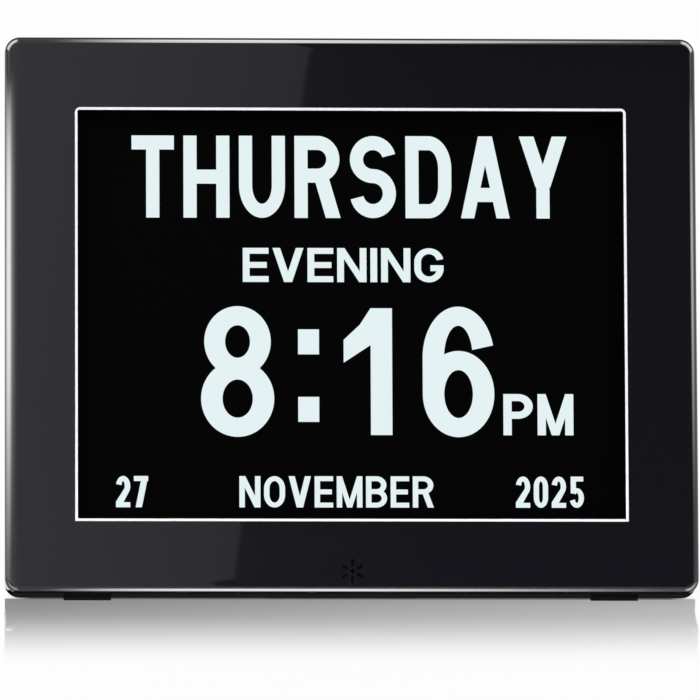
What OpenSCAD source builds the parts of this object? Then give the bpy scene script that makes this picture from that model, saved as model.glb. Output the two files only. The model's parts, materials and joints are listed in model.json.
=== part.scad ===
// Day clock: an 8 inch display in a gloss black front panel, with a rear cover, six push keys
// and a fold-out stand.
// Every piece is drawn in the clock's own upright frame: x to the right, y from the front face to
// the back, z up from the panel's bottom edge. standing() then leans the clock back on its stand.

/* [Pose] */
// Angle the clock leans back from upright
lean = 15; // [10:1:20]
// Angle of the open stand from plumb
leg_splay = 7.5; // [4:0.5:15]

/* [Screen] */
// Width of the lit picture
screen_w = 162; // [140:1:220]
// Height of the lit picture
screen_h = 122; // [100:1:170]
// Width of the white line round the picture
trim_w = 0.8; // [0.8:0.1:2]
// Depth of the rebate in the front face that holds the white line
trim_d = 0.8; // [0.6:0.1:1.4]
// How far the white line lies below the front face
trim_recess = 0.15; // [0.05:0.05:0.4]
// Radius of the line's two upper corners
trim_corner_r = 1.6; // [0.8:0.1:2.4]

/* [Front panel] */
// Face width beside the picture
side_border = 21.5; // [21.3:0.1:40]
// Face height above the picture
top_border = 21.9; // [21.2:0.1:40]
// Face height below the picture
bottom_border = 22.1; // [22:0.1:40]
// Depth of the panel's side wall
panel_d = 13; // [12.5:0.1:16]
// Radius of the panel's four corners
corner_r = 4.5; // [3.5:0.1:6]
// Radius of the polished front edge
edge_r = 2; // [1:0.1:2.4]
// Thickness of the side wall
panel_wall = 2.2; // [1.6:0.1:2.4]
// Thickness of the front face
face_t = 2.6; // [2:0.1:3]

/* [Sound opening] */
// Height of the rosette's centre above the bottom edge
rosette_z = 6.5; // [6.3:0.1:7]
// Outer reach of the six slots
rosette_r = 3.6; // [3:0.1:3.8]
// Inner reach of the six slots
rosette_in_r = 1.5; // [1.2:0.1:1.8]
// Width of a slot
rosette_slot_w = 0.8; // [0.6:0.1:1]
// Radius of the hole in the middle
rosette_hole_r = 0.6; // [0.4:0.1:0.7]
// Radius of the sounder
sounder_r = 3.9; // [3.5:0.1:4]
// Depth of the sounder
sounder_d = 4; // [3:0.5:5]

/* [Display module] */
// Module frame beyond the picture at each side
module_side = 10.5; // [8:0.1:10.6]
// Module frame beyond the picture, above and below
module_end = 9.5; // [8:0.1:9.6]
// Foam strip between trim and module
gasket_t = 0.8; // [0.6:0.1:1.2]
// Steel of the module's bezel and back
sheet_t = 0.4; // [0.3:0.1:0.5]
// Thickness of the glass cell
glass_t = 1.4; // [1:0.1:1.8]
// Thickness of the film stack
film_t = 0.5; // [0.3:0.1:0.7]
// Thickness of the light guide
guide_t = 2.4; // [2:0.1:2.6]
// Width of the moulded frame that holds the guide
tray_wall = 4.8; // [4:0.1:6]
// Number of lamps along the light guide
led_count = 18; // [8:1:24]

/* [Rear cover] */
// Thickness of the cover's flat rim and walls
cover_t = 2; // [1.6:0.1:2.2]
// How far the cover steps in from the panel's outline
cover_step = 1; // [0.6:0.1:1.5]
// Depth of the raised back behind the rim
pod_d = 13; // [12.5:0.1:15]
// Rim left beside the raised back
pod_side = 20.5; // [19:0.1:26]
// Rim left above the raised back
pod_top = 13.5; // [13:0.1:18]
// Rim left below the raised back
pod_bottom = 10.5; // [9:0.1:16]
// How far the raised back draws in towards its rear face
pod_draft = 4; // [3:0.1:6]
// Bevel round the rear face
pod_bevel = 1.6; // [1:0.1:2.5]
// Corner radius of the raised back
pod_corner_r = 12; // [10:0.5:16]
// Number of cooling slots on each side
vent_count = 7; // [4:1:8]
// Length of a cooling slot
vent_l = 30; // [16:1:32]
// Width of a cooling slot
vent_w = 2; // [1.5:0.1:3]
// Spacing of the cooling slots
vent_pitch = 6; // [5:0.5:7]
// Entry radius of a hanging keyhole
keyhole_r = 4; // [3.5:0.1:4.5]
// Half width of a hanging keyhole's neck
keyhole_neck_r = 2; // [1.6:0.1:2.1]
// Rise of the neck above the entry
keyhole_rise = 8; // [7:0.5:10]
// Distance of each keyhole from the side of the raised back
keyhole_side = 18; // [17:0.5:24]
// Distance of the keyholes' entries below the top of the raised back
keyhole_drop = 34.5; // [32.5:0.5:38.5]

/* [Stand] */
// Distance of the stand's hinge pin below the row of keys
hinge_drop = 27; // [25.5:0.5:40]
// Radius of the hinge pin
pin_r = 1.5; // [1.2:0.1:1.8]
// Running clearance between pin and stand
pin_fit = 0.06; // [0.03:0.01:0.09]
// Radius of the stand's knuckle
knuckle_r = 3.4; // [3:0.1:3.6]
// Stand width at the hinge
leg_top_w = 38; // [30:1:40]
// Stand width at the foot
leg_foot_w = 42; // [36:1:44]
// Thickness of the stand's plate
leg_t = 2.4; // [2:0.1:2.8]
// Radius of the plate's two lower corners
leg_corner_r = 4.5; // [2:0.5:8]
// Depth of the stiffening ribs
rib_d = 2.6; // [2:0.1:2.8]
// Thickness of a rib
rib_t = 1.8; // [1.4:0.1:2.4]
// Number of cross ribs
rib_count = 5; // [3:1:7]
// Thickness of a friction washer
washer_t = 0.7; // [0.5:0.1:0.9]
// Height of the rubber shoe on the stand's foot
shoe_h = 8; // [6:0.5:10]
// Wall of the rubber shoe
shoe_wall = 1.2; // [1:0.1:1.5]

/* [Keys] */
// Spacing of the keys
key_pitch = 16; // [14.5:0.5:17]
// Width of a key
key_w = 10; // [8:0.5:11]
// Height of a key
key_h = 6; // [5:0.5:7]
// How far a key stands out of the cover
key_out = 1.2; // [0.8:0.1:2]
// Press travel of a key
key_travel = 0.5; // [0.3:0.05:0.6]
// Distance of the key row below the top of the raised back
key_drop = 15.5; // [15:0.5:17]

/* [Boards] */
// Thickness of the main board
board_t = 1.6; // [1:0.1:1.8]
// Room beside the main board, inside the raised back
board_side = 6; // [4:0.5:10]
// Height of the main board's lower edge
board_z = 34; // [33:0.5:37]
// Distance of the main board below the key board
board_drop = 13; // [11:0.5:20]
// Thickness of the key board
key_board_t = 1.2; // [0.8:0.1:1.6]
// Radius of the backup cell
cell_r = 10; // [8:0.5:10]
// Height of the power inlet
inlet_z = 62; // [56:1:80]
// Bore radius of the power inlet
inlet_r = 2.8; // [2.6:0.1:3]
// Radius of the inlet's centre contact
contact_r = 1; // [0.8:0.05:1.2]

/* [Fasteners and feet] */
// Radius of the screw bosses for the rear cover
boss_r = 3.2; // [2.8:0.1:3.3]
// Radius of the cover screws' shanks
screw_r = 1.2; // [1:0.1:1.4]
// Radius of a screw head
head_r = 2.4; // [2.2:0.1:2.6]
// Height of a screw head
head_t = 1.1; // [0.8:0.1:1.2]
// Half distance between the rubber feet
foot_x = 78; // [50:1:84]
// Width of a rubber foot
foot_w = 14; // [10:1:30]
// Depth of a rubber foot, front to back
foot_d = 2; // [1.5:0.5:4]
// Clearance of the panel over the table
foot_drop = 0.35; // [0.2:0.05:1]

/* [Hidden] */
$fn = 48;
hull_fn = 32;

// Colours
gloss_black = "#141317";
satin_black = "#1c1c1e";
screen_black = "#050506";
line_white = "#f4f6f6";
foam_grey = "#3a3a3c";
steel_grey = "#9a9c9e";
board_green = "#1f5a3c";
chip_black = "#242426";
clear_blue = "#cfe3ea";
ribbon_brown = "#8a5a2b";
wire_red = "#a02020";
rubber_black = "#151515";

// General clearances: pieces that only lie beside each other, and pieces that slide
gap = 0.1;
loose = 0.3;
// How far a cut runs past the face that it opens
over = 1;

// Outline of the panel
panel_w = screen_w + 2 * side_border;
panel_h = bottom_border + screen_h + top_border;
mid_z = panel_h / 2;
screen_z = bottom_border + screen_h / 2;
cavity_w = panel_w - 2 * panel_wall;
cavity_h = panel_h - 2 * panel_wall;
cavity_r = corner_r - panel_wall;
trim_inner_r = 0.5;

// Depths of the stack behind the face
gasket_y = face_t;
module_y = gasket_y + gasket_t;
glass_y = module_y + sheet_t;
film_y = glass_y + glass_t + gap;
guide_y = film_y + film_t;
back_y = guide_y + guide_t + gap;
module_end_y = back_y + sheet_t;

// Outlines of the stack
gasket_in = 1.5;
gasket_w = 4;
bezel_lip = 2;
glass_side = 7;
stack_corner_r = 0.8;
module_w = screen_w + 2 * module_side;
module_h = screen_h + 2 * module_end;
tray_w = module_w - 2 * sheet_t - 2 * gap;
tray_h = module_h - 2 * sheet_t - 2 * gap;
guide_w = tray_w - 2 * tray_wall;
guide_h = tray_h - 2 * tray_wall;
back_slot_l = 30;
back_slot_w = 3;

// Lamps under the light guide
led_strip_t = 0.8;
led_t = 0.8;
led_w = 3;
led_inset = 0.2;
led_space = led_strip_t + led_t + 2 * gap;

// Rails in the panel that place the display module
rail_t = 1;
rail_d = 3;
rail_l = 60;

// Rear cover
rim_y = panel_d;
pod_y = rim_y + cover_t;
pod_end_y = pod_y + pod_d;
lip_t = 1.5;
lip_d = 3;
pod_w = panel_w - 2 * pod_side;
pod_h = panel_h - pod_top - pod_bottom;
pod_z = pod_bottom + pod_h / 2;
pod_top_z = pod_bottom + pod_h;
wall_y = pod_end_y - cover_t;
keyhole_x = pod_w / 2 - keyhole_side;
keyhole_z = pod_top_z - keyhole_drop;
vent_z = 30;
vent_gap = 7;

// Screw bosses: a ring just inside the cover's lip
boss_in = panel_wall + loose + lip_t + loose + boss_r;
boss_x = panel_w / 2 - boss_in;
boss_spots = [
    for (x = [-boss_x, boss_x], z = [boss_in, mid_z, panel_h - boss_in]) [x, z]
];
screw_bite = 6;
pilot_slack = 0.03;
pilot_r = screw_r + pilot_slack;
pilot_spare = 0.4;

// Clips that hold the display module
clip_boss_r = 2.4;
clip_rise = 45;
clip_t = 0.8;
clip_w = 8;
clip_reach = 5;
clip_screw_l = 4;
clip_spots = [for (x = [-1, 1], z = [-clip_rise, clip_rise]) [x * boss_x, screen_z + z]];

// Keys, from the cover's wall down to their board
key_count = 6;
key_z = pod_top_z - key_drop;
key_flange = 1.2;
key_flange_t = 1;
key_slip = 0.3;
key_corner_r = 2;
key_foot_y = wall_y - gap - key_flange_t;
plunger_r = 1.7;
plunger_h = 1.6;
plunger_sink = 0.9;
switch_w = 6;
switch_t = 3.2;
plunger_top_y = key_foot_y - gap;
switch_y = plunger_top_y - key_travel - gap - switch_t;
key_board_y = switch_y - key_board_t;
key_board_side = 9;
key_board_w = key_pitch * key_count + 2 * key_board_side;
key_board_h = 12;
key_board_corner_r = 1;
key_post_in = 5;
key_post_x = key_board_w / 2 - key_post_in;
key_post_r = 2.4;
key_screw_l = 5;

// Main board: its upper edge keeps its distance from the key board
board_y = 12;
board_back_y = board_y + board_t;
board_top = key_z - key_board_h / 2 - board_drop;
board_h = board_top - board_z;
board_mid = board_z + board_h / 2;
board_w = pod_w - 2 * cover_t - 2 * board_side;
board_corner_r = 2;
board_screw_l = 7;
post_r = 3;
post_in = 8;
post_keyhole_gap = 11;
post_low_z = board_z + post_in;
post_high_z = min(board_top - post_in, keyhole_z - keyhole_r - post_keyhole_gap - post_r);
post_x = board_w / 2 - post_in;
post_spots = [for (x = [-post_x, post_x], z = [post_low_z, post_high_z]) [x, z]];

// What stands on the boards, as [x, height above the board's middle, width, height, thickness]
chips = [
    [0, 8, 16, 16, 1.6], [-24, 14, 9, 12, 1.2], [26, -10, 7, 7, 1.1],
    [12, -20, 8, 5, 1.5], [-10, -16, 5, 5, 1.2], [46, 16, 10, 7, 2.2]
];
driver_chips = [[-38, 0, 12, 3, 0.9], [0, 0, 12, 3, 0.9]];
// And as [x, height above the board's middle, radius, thickness]
capacitors = [[36, -27.5, 3.2, 8], [46, -27.5, 3.2, 8], [36, -18, 2.6, 7], [-34, 27.5, 2.6, 6]];
coils = [[46, -10, 4.5, 4], [56, 4, 4, 3.6]];
coil_dish = 1;
cell_x = -46;
cell_z = board_mid - 6;
cell_t = 3.2;
cell_cup_t = 0.8;
cell_cup_wall = 1.2;
cell_cup_h = 3;
inlet_w = 9;
inlet_l = 14;
inlet_d = 10;
inlet_bore_l = 10;
inlet_mouth_r = inlet_r + 2;
inlet_y = board_back_y + inlet_d / 2;
inlet_face_x = pod_w / 2 - pod_draft - cover_t - loose;

// Driver board of the display
driver_w = 120;
driver_h = 11;
driver_t = 1;
driver_in = 9;
driver_z = screen_z - module_h / 2 + driver_in;
driver_back_y = module_end_y + driver_t;

// Connectors, with a slot for the ribbon in one end
plug_h = 4;
plug_t = 2.4;
plug_mid = plug_t / 2;
plug_side = 1.5;
plug_in = 0.6;
plug_slot = 1.8;
low_plug_z = board_z + plug_in + plug_h / 2;
high_plug_z = board_top - plug_in - plug_h / 2;
key_plug_z = key_z - key_board_h / 2 + plug_in + plug_h / 2;

// Ribbons, as [y, z] points along their middle. Each runs straight out of its connectors.
ribbon_t = 0.3;
ribbon_straight = 2;
display_ribbon_w = 24;
display_ribbon_x = 22;
display_ribbon_path = [
    [driver_back_y + plug_mid, ribbon_end(driver_z, 1)],
    [driver_back_y + plug_mid, ribbon_turn(driver_z, 1)],
    [board_back_y + plug_mid, ribbon_turn(low_plug_z, -1)],
    [board_back_y + plug_mid, ribbon_end(low_plug_z, -1)]
];
key_ribbon_w = 10;
key_ribbon_x = -36;
key_ribbon_path = [
    [board_back_y + plug_mid, ribbon_end(high_plug_z, 1)],
    [board_back_y + plug_mid, ribbon_turn(high_plug_z, 1)],
    [key_board_y - plug_mid, ribbon_turn(key_plug_z, -1)],
    [key_board_y - plug_mid, ribbon_end(key_plug_z, -1)]
];

// Sounder and its two wires
sounder_ring_t = 1;
sounder_ring_d = 3;
sounder_port_d = 1;
wire_r = 0.45;
wire_slip = 0.05;
wire_spread = 1.3;
wire_plug_x = -44;
wire_plug_w = 6;
wire_plug_h = 5;
wire_seat = 1.2;
wire_run_y = rim_y - wire_r - loose;
wire_back_y = board_back_y + plug_mid;
wire_end_z = board_z + plug_in + wire_seat;

// Feet
foot_recess = 0.8;
foot_front = 0.4;
foot_y = panel_d - foot_d - foot_front;

// Stand. All of it hangs from the pin.
hinge_z = key_z - hinge_drop;
hinge_y = pod_end_y - knuckle_r - loose;
hinge_boss_l = 7;
hinge_slack = 0.02;
hinge_bore_r = pin_r + hinge_slack;
pocket_slack = 1;
pocket_over = 3.2;
pocket_wall = 2;
pocket_y = hinge_y - knuckle_r - loose;
pocket_w = leg_foot_w + 2 * pocket_slack;
pocket_top = hinge_z + knuckle_r + pocket_over;
pin_short = 0.5;
pin_l = pocket_w + 2 * hinge_boss_l - 2 * pin_short;
washer_in = 0.4;
washer_slack = 0.03;
knuckle_l = pocket_w - 2 * (washer_t + 2 * gap);

// Where the leaning clock meets the table
floor_z = -panel_d * sin(lean) - foot_drop;
hinge_world_y = hinge_y * cos(lean) + hinge_z * sin(lean);
hinge_world_z = hinge_z * cos(lean) - hinge_y * sin(lean);
hinge_height = hinge_world_z - floor_z;
leg_l = hinge_height / cos(leg_splay);
leg_open = lean + leg_splay;
table_cut = 20;

// The plate of the stand ends in its shoe
shoe_sole = 2;
leg_end = leg_l - shoe_sole;
leg_back = 2.6;
leg_front = leg_back - leg_t;
rib_start = 4;
rib_stop = 6;
rib_from = knuckle_r + rib_start;
rib_to = leg_l - shoe_h - rib_stop;
shoe_back = leg_back + shoe_wall;
shoe_spare = 2.5;

// The heel above the pin meets the pocket's floor when the stand is open
stop_gap = 0.12;
heel_front = 1.8;
heel_back = 1.6;
heel_w = 20;
heel_l = (hinge_y - pocket_y - stop_gap - heel_front * cos(leg_open)) / sin(leg_open);

// Footprint of the leaning clock, front edge to the back of the stand's shoe
front_reach = edge_r * (cos(lean) + sin(lean) - 1);
back_reach = hinge_world_y + hinge_height * tan(leg_splay) + shoe_back / cos(leg_splay);
middle_y = (front_reach + back_reach) / 2;

// Height at which a ribbon ends inside a connector, and at which it first bends outside it.
// The connector's slot is in its upper end (way 1) or its lower end (way -1).
function ribbon_end(z, way) = z + way * (plug_h / 2 - plug_slot + gap);
function ribbon_turn(z, way) = z + way * (plug_h / 2 + ribbon_straight);

function key_x(i) = (i + 0.5 - key_count / 2) * key_pitch;

// Outside of the raised back's side at depth y
function pod_side_x(y) = pod_w / 2 - pod_draft * (y - pod_y) / (pod_d - pod_bevel);

// Width of the stand's plate at distance d below the pin
function leg_w_at(d) = leg_top_w + (leg_foot_w - leg_top_w) * d / leg_end;

// Leans the upright clock back and stands it on the table
module standing()
    translate([0, -middle_y, -floor_z]) rotate([-lean, 0, 0]) children();

// Extrudes a flat (x, z) outline from depth y towards the back
module slab(y, d)
    translate([0, y + d, 0]) rotate([90, 0, 0]) linear_extrude(d) children();

// A cylinder that runs from depth y towards the back
module rod(x, z, y, r, d)
    translate([x, y + d, z]) rotate([90, 0, 0]) cylinder(r = r, h = d);

// A cylinder across the clock, centred on depth y and height z
module cross_rod(x, y, z, r, l)
    translate([x, y, z]) rotate([0, 90, 0]) cylinder(r = r, h = l, center = true);

module block(x, z, y, w, h, d)
    translate([x - w / 2, y, z - h / 2]) cube([w, d, h]);

module rounded_rect(w, h, r) {
    square([w - 2 * r, h], center = true);
    square([w, h - 2 * r], center = true);
    for (x = [-1, 1], y = [-1, 1])
        translate([x * (w / 2 - r), y * (h / 2 - r)]) circle(r);
}

// A slot with round ends, lying along x
module slot_hole(l, w) {
    square([l - w, w], center = true);
    for (s = [-1, 1]) translate([s * (l - w) / 2, 0]) circle(w / 2);
}

module frame_ring(w, h, r, inner_w, inner_h)
    difference() {
        rounded_rect(w, h, r);
        square([inner_w, inner_h], center = true);
    }

// Outline of the white line: round upper corners, square lower ones
module line_outline(w, h, r) {
    rounded_rect(w, h, r);
    translate([-w / 2, -h / 2]) square([w, h / 2]);
}

// Cross-section of a plate's border: r wide, d deep, with its outer front corner rounded by e
module border_section(r, e, d) {
    square([r - e, d]);
    translate([0, e]) square([r, d - e]);
    translate([r - e, e]) circle(e);
}

// A plate with a round front edge: a core, four straight borders and four turned corners
module round_edged_plate(w, h, r, e, d) {
    block(0, 0, 0, w - 2 * r, h - 2 * r, d);
    for (turn = [0:3]) {
        run = turn % 2 == 0 ? w - 2 * r : h - 2 * r;
        out = turn % 2 == 0 ? h / 2 - r : w / 2 - r;
        rotate([0, turn * 90, 0]) translate([run / 2, 0, out]) rotate([0, -90, 0]) {
            linear_extrude(run) border_section(r, e, d);
            rotate([-90, 0, 0]) rotate_extrude(angle = 90) border_section(r, e, d);
        }
    }
}

// Six slots round a hole, over the sounder
module rosette() {
    circle(rosette_hole_r);
    for (a = [0:60:300]) rotate(a) translate([(rosette_in_r + rosette_r) / 2, 0])
        slot_hole(rosette_r - rosette_in_r, rosette_slot_w);
}

module front_panel() color(gloss_black) standing() difference() {
    union() {
        difference() {
            translate([0, 0, mid_z])
                round_edged_plate(panel_w, panel_h, corner_r, edge_r, panel_d);
            translate([0, 0, mid_z]) slab(face_t, panel_d)
                rounded_rect(cavity_w, cavity_h, cavity_r);
        }
        for (p = boss_spots) rod(p[0], p[1], face_t - gap, boss_r, rim_y - face_t + gap);
        for (p = clip_spots)
            rod(p[0], p[1], face_t - gap, clip_boss_r, module_end_y - face_t + gap);
        rod(0, rosette_z, face_t - gap, sounder_r + gap + sounder_ring_t, sounder_ring_d + gap);
        for (s = [-1, 1]) {
            block(0, screen_z + s * (module_h / 2 + loose + rail_t / 2), face_t - gap,
                rail_l, rail_t, rail_d + gap);
            block(s * (module_w / 2 + loose + rail_t / 2), screen_z + clip_rise / 2,
                face_t - gap, rail_t, clip_rise / 2, rail_d + gap);
        }
    }
    block(0, screen_z, -over, screen_w, screen_h, face_t + 2 * over);
    translate([0, 0, screen_z]) slab(-over, trim_d + over)
        line_outline(screen_w + 2 * trim_w, screen_h + 2 * trim_w, trim_corner_r);
    translate([0, 0, rosette_z]) slab(-over, face_t + 2 * over) rotate(90) rosette();
    rod(0, rosette_z, face_t, sounder_r + gap, panel_d);
    for (p = boss_spots) rod(p[0], p[1], rim_y - screw_bite, pilot_r, screw_bite + over);
    for (p = clip_spots)
        rod(p[0], p[1], module_end_y - clip_screw_l, pilot_r, clip_screw_l + over);
    for (s = [-1, 1])
        block(s * foot_x, 0, foot_y, foot_w + 2 * gap, 2 * foot_recess, foot_d + gap);
}

module screen_trim() color(line_white) standing() translate([0, 0, screen_z])
    slab(trim_recess, trim_d - trim_recess) difference() {
        line_outline(screen_w + 2 * trim_w - gap, screen_h + 2 * trim_w - gap, trim_corner_r);
        line_outline(screen_w, screen_h, trim_inner_r);
    }

module screen_gasket() color(foam_grey) standing() translate([0, 0, screen_z])
    slab(gasket_y, gasket_t)
        frame_ring(screen_w + 2 * gasket_in + 2 * gasket_w,
            screen_h + 2 * gasket_in + 2 * gasket_w, stack_corner_r,
            screen_w + 2 * gasket_in, screen_h + 2 * gasket_in);

module module_bezel() color(steel_grey) standing() translate([0, 0, screen_z]) {
    slab(module_y, sheet_t)
        frame_ring(module_w, module_h, sheet_t,
            screen_w + 2 * bezel_lip, screen_h + 2 * bezel_lip);
    slab(module_y + sheet_t, back_y - module_y - sheet_t)
        frame_ring(module_w, module_h, sheet_t,
            module_w - 2 * sheet_t, module_h - 2 * sheet_t);
}

module lcd_glass() color(screen_black) standing() translate([0, 0, screen_z])
    slab(glass_y, glass_t)
        rounded_rect(screen_w + 2 * glass_side, screen_h + 2 * glass_side, stack_corner_r);

module film_stack() color(line_white) standing()
    block(0, screen_z, film_y, guide_w - 2 * gap, guide_h - 2 * gap, film_t);

module light_guide() color(clear_blue, 0.6) standing()
    block(0, screen_z + led_space / 2, guide_y,
        guide_w - 2 * gap, guide_h - 2 * gap - led_space, guide_t);

module led_strip() color(line_white) standing() {
    strip_z = screen_z - guide_h / 2 + gap + led_strip_t / 2;
    strip_w = guide_w - 2 * gap;
    block(0, strip_z, guide_y, strip_w, led_strip_t, guide_t);
    for (i = [0:led_count - 1])
        block((i + 0.5 - led_count / 2) * strip_w / led_count, strip_z + led_strip_t,
            guide_y + led_inset, led_w, led_t, guide_t - 2 * led_inset);
}

// The moulded frame carries the glass on its front edge and holds the guide inside
module module_tray() color(line_white) standing() translate([0, 0, screen_z])
    slab(glass_y + glass_t, back_y - glass_y - glass_t)
        frame_ring(tray_w, tray_h, sheet_t, guide_w, guide_h);

// Steel back with four pressed slots for the harness
module module_back() color(steel_grey) standing() translate([0, 0, screen_z])
    slab(back_y, sheet_t) difference() {
        rounded_rect(module_w, module_h, sheet_t);
        for (x = [-1, 1], z = [-1, 1])
            translate([x * module_w / 4, z * module_h / 4]) slot_hole(back_slot_l, back_slot_w);
    }

// A connector body at (x, z), with its front at depth y
module ribbon_plug(x, z, y, w, way)
    difference() {
        block(x, z, y, w + 2 * plug_side, plug_h, plug_t);
        block(x, z + way * plug_h / 2, y + plug_mid - ribbon_t / 2 - gap,
            w + 2 * gap, 2 * plug_slot, ribbon_t + 2 * gap);
    }

module driver_board() color(board_green) standing() {
    block(0, driver_z, module_end_y, driver_w, driver_h, driver_t);
    for (c = driver_chips)
        block(c[0], driver_z + c[1], driver_back_y, c[2], c[3], c[4]);
    ribbon_plug(display_ribbon_x, driver_z, driver_back_y, display_ribbon_w, 1);
}

// Flat tongues, screwed to their bosses, that press the module against the gasket
module panel_clips() color(steel_grey) standing() for (p = clip_spots) {
    outer = abs(p[0]) + clip_boss_r;
    inner = module_w / 2 - clip_reach;
    difference() {
        block(sign(p[0]) * (outer + inner) / 2, p[1], module_end_y,
            outer - inner, clip_w, clip_t);
        rod(p[0], p[1], module_end_y - over, screw_r + gap, clip_t + 2 * over);
    }
}

// A pan-head screw whose head sits on depth y, pointing to the front (-1) or to the back (1)
module pan_screw(x, z, y, l, way) {
    rod(x, z, way < 0 ? y : y - head_t, head_r, head_t);
    rod(x, z, way < 0 ? y - l : y, screw_r, l);
}

module clip_screws() color(steel_grey) standing()
    for (p = clip_spots) pan_screw(p[0], p[1], module_end_y + clip_t, clip_screw_l, -1);

// A ribbon cable: its path on one face, and the path back on the other
module ribbon(path, x, w)
    translate([x - w / 2, 0, 0]) rotate([90, 0, 90]) linear_extrude(w) polygon(concat(
        [for (p = path) [p[0] - ribbon_t / 2, p[1]]],
        [for (i = [len(path) - 1:-1:0]) [path[i][0] + ribbon_t / 2, path[i][1]]]
    ));

module display_ribbon() color(ribbon_brown) standing()
    ribbon(display_ribbon_path, display_ribbon_x, display_ribbon_w);

module key_ribbon() color(ribbon_brown) standing()
    ribbon(key_ribbon_path, key_ribbon_x, key_ribbon_w);

module sounder() color(chip_black) standing() difference() {
    rod(0, rosette_z, face_t + gap, sounder_r, sounder_d);
    rod(0, rosette_z, face_t, 2 * rosette_hole_r, gap + sounder_port_d);
}

// A round run between two points that differ along one axis only
module run_between(a, b) {
    d = b - a;
    turn = abs(d[0]) > 0 ? [0, 90, 0] : abs(d[1]) > 0 ? [90, 0, 0] : [0, 0, 0];
    translate((a + b) / 2) rotate(turn) cylinder(r = wire_r, h = norm(d), center = true);
}

// One wire, as round runs with a ball in each bend
module wire(points) {
    for (i = [0:len(points) - 2]) run_between(points[i], points[i + 1]);
    for (i = [1:len(points) - 2]) translate(points[i]) sphere(wire_r);
}

// Two wires run along the cavity's back, rise beside the driver board and enter their connector
module sounder_wires() color(wire_red) standing()
    for (s = [-1, 1]) {
        rise_x = wire_plug_x + s * wire_spread;
        low_z = rosette_z + s * wire_spread;
        turn_z = driver_z + driver_h;
        wire([
            [s * wire_spread, face_t + gap + sounder_d, low_z],
            [s * wire_spread, wire_run_y, low_z],
            [rise_x, wire_run_y, low_z],
            [rise_x, wire_run_y, turn_z],
            [rise_x, wire_back_y, turn_z],
            [rise_x, wire_back_y, wire_end_z - gap]
        ]);
    }

module main_board() color(board_green) standing() difference() {
    translate([0, 0, board_mid]) slab(board_y, board_t)
        rounded_rect(board_w, board_h, board_corner_r);
    for (p = post_spots) rod(p[0], p[1], board_y - over, screw_r + gap, board_t + 2 * over);
}

module board_chips() color(chip_black) standing()
    for (c = chips) block(c[0], board_mid + c[1], board_back_y, c[2], c[3], c[4]);

module board_capacitors() color(steel_grey) standing()
    for (c = capacitors) rod(c[0], board_mid + c[1], board_back_y, c[2], c[3]);

module board_coils() color(foam_grey) standing()
    for (c = coils) difference() {
        rod(c[0], board_mid + c[1], board_back_y, c[2], c[3]);
        rod(c[0], board_mid + c[1], board_back_y + c[3] - coil_dish, c[2] / 3, coil_dish + over);
    }

module board_connectors() color(line_white) standing() {
    ribbon_plug(display_ribbon_x, low_plug_z, board_back_y, display_ribbon_w, -1);
    ribbon_plug(key_ribbon_x, high_plug_z, board_back_y, key_ribbon_w, 1);
    difference() {
        block(wire_plug_x, board_z + plug_in + wire_plug_h / 2, board_back_y,
            wire_plug_w, wire_plug_h, plug_t);
        for (s = [-1, 1]) translate([wire_plug_x + s * wire_spread, wire_back_y, board_z])
            cylinder(r = wire_r + wire_slip, h = wire_end_z - board_z);
    }
}

module cell_holder() color(chip_black) standing() difference() {
    rod(cell_x, cell_z, board_back_y, cell_r + gap + cell_cup_wall, cell_cup_h);
    rod(cell_x, cell_z, board_back_y + cell_cup_t, cell_r + gap, cell_cup_h);
    // Notch for pushing the cell out
    block(cell_x, cell_z + cell_r, board_back_y + cell_cup_t, cell_r, cell_r, cell_cup_h);
}

module backup_cell() color(steel_grey) standing()
    rod(cell_x, cell_z, board_back_y + cell_cup_t, cell_r, cell_t);

module board_screws() color(steel_grey) standing()
    for (p = post_spots) pan_screw(p[0], p[1], board_y, board_screw_l, 1);

module power_inlet() color(chip_black) standing() difference() {
    block(inlet_face_x - inlet_l / 2, inlet_z, board_back_y, inlet_l, inlet_w, inlet_d);
    cross_rod(inlet_face_x - (inlet_bore_l - over) / 2, inlet_y, inlet_z,
        inlet_r, inlet_bore_l + over);
}

module inlet_contact() color(steel_grey) standing()
    cross_rod(inlet_face_x - (inlet_bore_l + over) / 2, inlet_y, inlet_z,
        contact_r, inlet_bore_l - over);

module key_board() color(board_green) standing() {
    difference() {
        translate([0, 0, key_z]) slab(key_board_y, key_board_t)
            rounded_rect(key_board_w, key_board_h, key_board_corner_r);
        for (x = [-key_post_x, key_post_x])
            rod(x, key_z, key_board_y - over, screw_r + gap, key_board_t + 2 * over);
    }
    ribbon_plug(key_ribbon_x, key_plug_z, key_board_y - plug_t, key_ribbon_w, -1);
}

module key_switches() color(steel_grey) standing()
    for (i = [0:key_count - 1]) difference() {
        block(key_x(i), key_z, switch_y, switch_w, switch_w, switch_t);
        rod(key_x(i), key_z, switch_y + switch_t - plunger_h, plunger_r + gap, plunger_h + over);
    }

module key_board_screws() color(steel_grey) standing()
    for (x = [-key_post_x, key_post_x]) pan_screw(x, key_z, key_board_y, key_screw_l, 1);

// A key: the cap through the cover's wall, and a flange that keeps it from falling out
module key_cap(i) color(satin_black) standing() translate([key_x(i), 0, key_z]) {
    slab(key_foot_y, pod_end_y + key_out - key_foot_y) rounded_rect(key_w, key_h, key_corner_r);
    slab(key_foot_y, key_flange_t)
        rounded_rect(key_w + 2 * key_flange, key_h + 2 * key_flange, key_corner_r);
}

module plunger(i) color(chip_black) standing()
    rod(key_x(i), key_z, switch_y + switch_t - plunger_sink, plunger_r,
        plunger_top_y - switch_y - switch_t + plunger_sink);

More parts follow.
